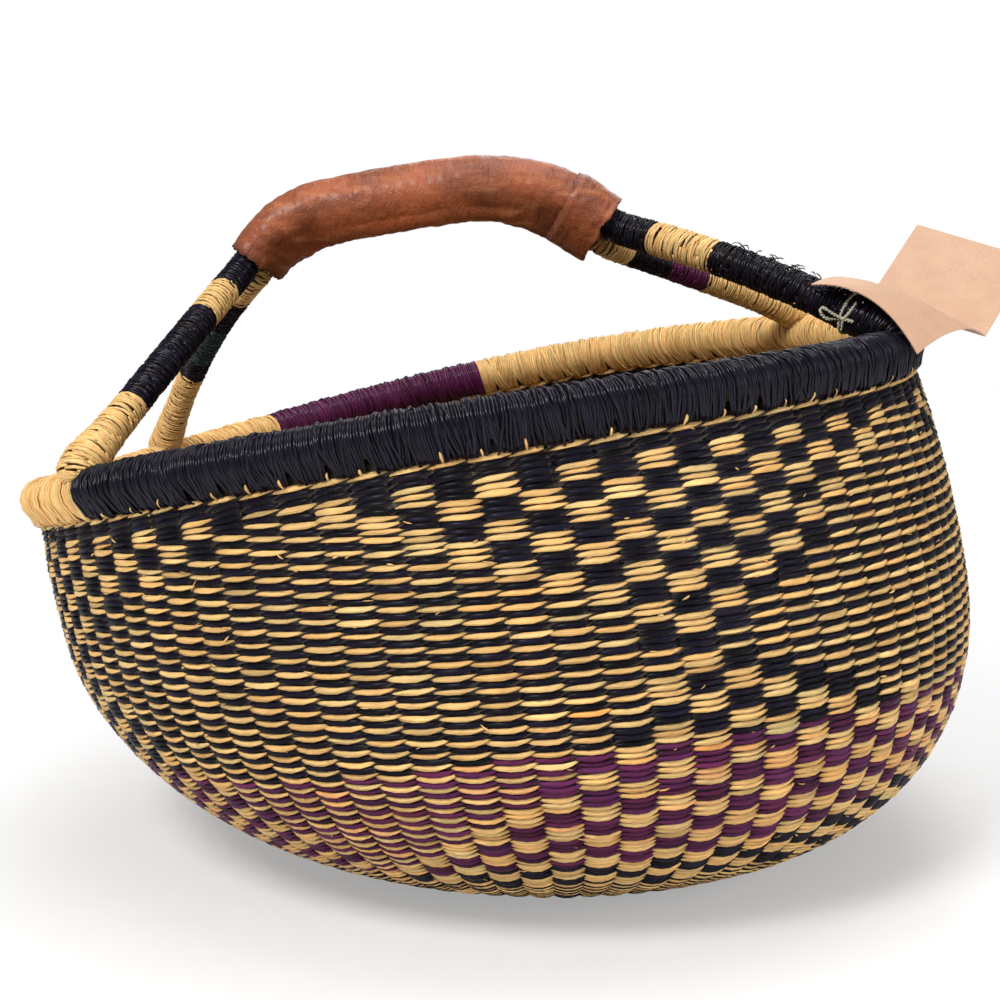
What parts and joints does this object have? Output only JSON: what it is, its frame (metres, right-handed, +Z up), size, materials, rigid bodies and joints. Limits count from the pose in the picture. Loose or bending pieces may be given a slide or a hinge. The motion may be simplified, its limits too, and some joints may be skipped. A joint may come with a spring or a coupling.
{
  "type": "round market basket",
  "caption": "Round twined-straw basket with a sloping wrapped rim, a two-bundle arched handle with a leather grip, and a folded blank card tied to one leg.",
  "frame": {"origin": "centre of the flat base, on the surface that the basket rests on", "axes": "+Z up; +X towards the higher side of the rim, along the handle's grip; -Y towards the viewer"},
  "size_m": [0.4639, 0.4238, 0.3191],
  "materials": {
    "mixed_weave": "twined grass straw in gold and black-navy, satin",
    "plum_weave": "twined grass straw in gold and dark purple, satin",
    "natural_straw": "undyed golden grass straw, satin",
    "black_straw": "black-navy dyed grass straw, slightly glossy",
    "purple_straw": "purple dyed grass straw, satin",
    "green_straw": "dark green dyed grass straw, satin",
    "plain_straw": "bundled undyed grass stems, matte",
    "tan_leather": "red-brown goat leather, worn, satin",
    "hemp_thread": "pale twisted thread, matte",
    "kraft_card": "brown kraft card, bare, matte"
  },
  "bodies": {
    "basket": {"woven_base": "mixed_weave", "lower_weft_outer": "mixed_weave", "lower_weft_inner": "mixed_weave", "purple_weft_outer": "plum_weave", "purple_weft_inner": "plum_weave", "upper_weft_outer": "mixed_weave", "upper_weft_inner": "mixed_weave", "top_twine_outer": "natural_straw", "top_twine_inner": "natural_straw", "warp_stakes": "plain_straw", "rim_core": "plain_straw", "rim_wrap_natural_rear": "natural_straw", "rim_wrap_purple_rear": "purple_straw", "rim_wrap_natural_left": "natural_straw", "rim_wrap_black_front": "black_straw", "front_bow_core": "plain_straw", "rear_bow_core": "plain_straw", "front_left_foot_natural": "natural_straw", "front_left_low_black": "black_straw", "front_left_mid_natural": "natural_straw", "front_left_top_black": "black_straw", "rear_left_foot_natural": "natural_straw", "rear_left_low_black": "black_straw", "rear_left_mid_green": "green_straw", "rear_left_high_black": "black_straw", "rear_left_top_natural": "natural_straw", "front_right_foot_black": "black_straw", "front_right_mid_natural": "natural_straw", "front_right_top_black": "black_straw", "rear_right_foot_natural": "natural_straw", "rear_right_mid_purple": "purple_straw", "rear_right_high_black": "black_straw", "rear_right_top_natural": "natural_straw", "leather_grip": "tan_leather", "leather_end_strip": "tan_leather", "tag_thread_loop": "hemp_thread"},
    "tag": {"tag_thread_tail": "hemp_thread", "tag_back_leaf": "kraft_card"},
    "tag_front": {"tag_front_leaf": "kraft_card"}
  },
  "joints": [
    {"name": "tag_lift", "type": "hinge", "parent": "basket", "child": "tag", "pos_m": [0.10796, -0.0899, 0.2621], "axis": [-0.5851, -0.8051, 0.097], "range_deg": [0, 80]},
    {"name": "tag_fold", "type": "hinge", "parent": "tag", "child": "tag_front", "pos_m": [0.144, -0.0403, 0.25213], "axis": [-0.8206, 0.4945, 0.2864], "range_deg": [0, 75]}
  ]
}
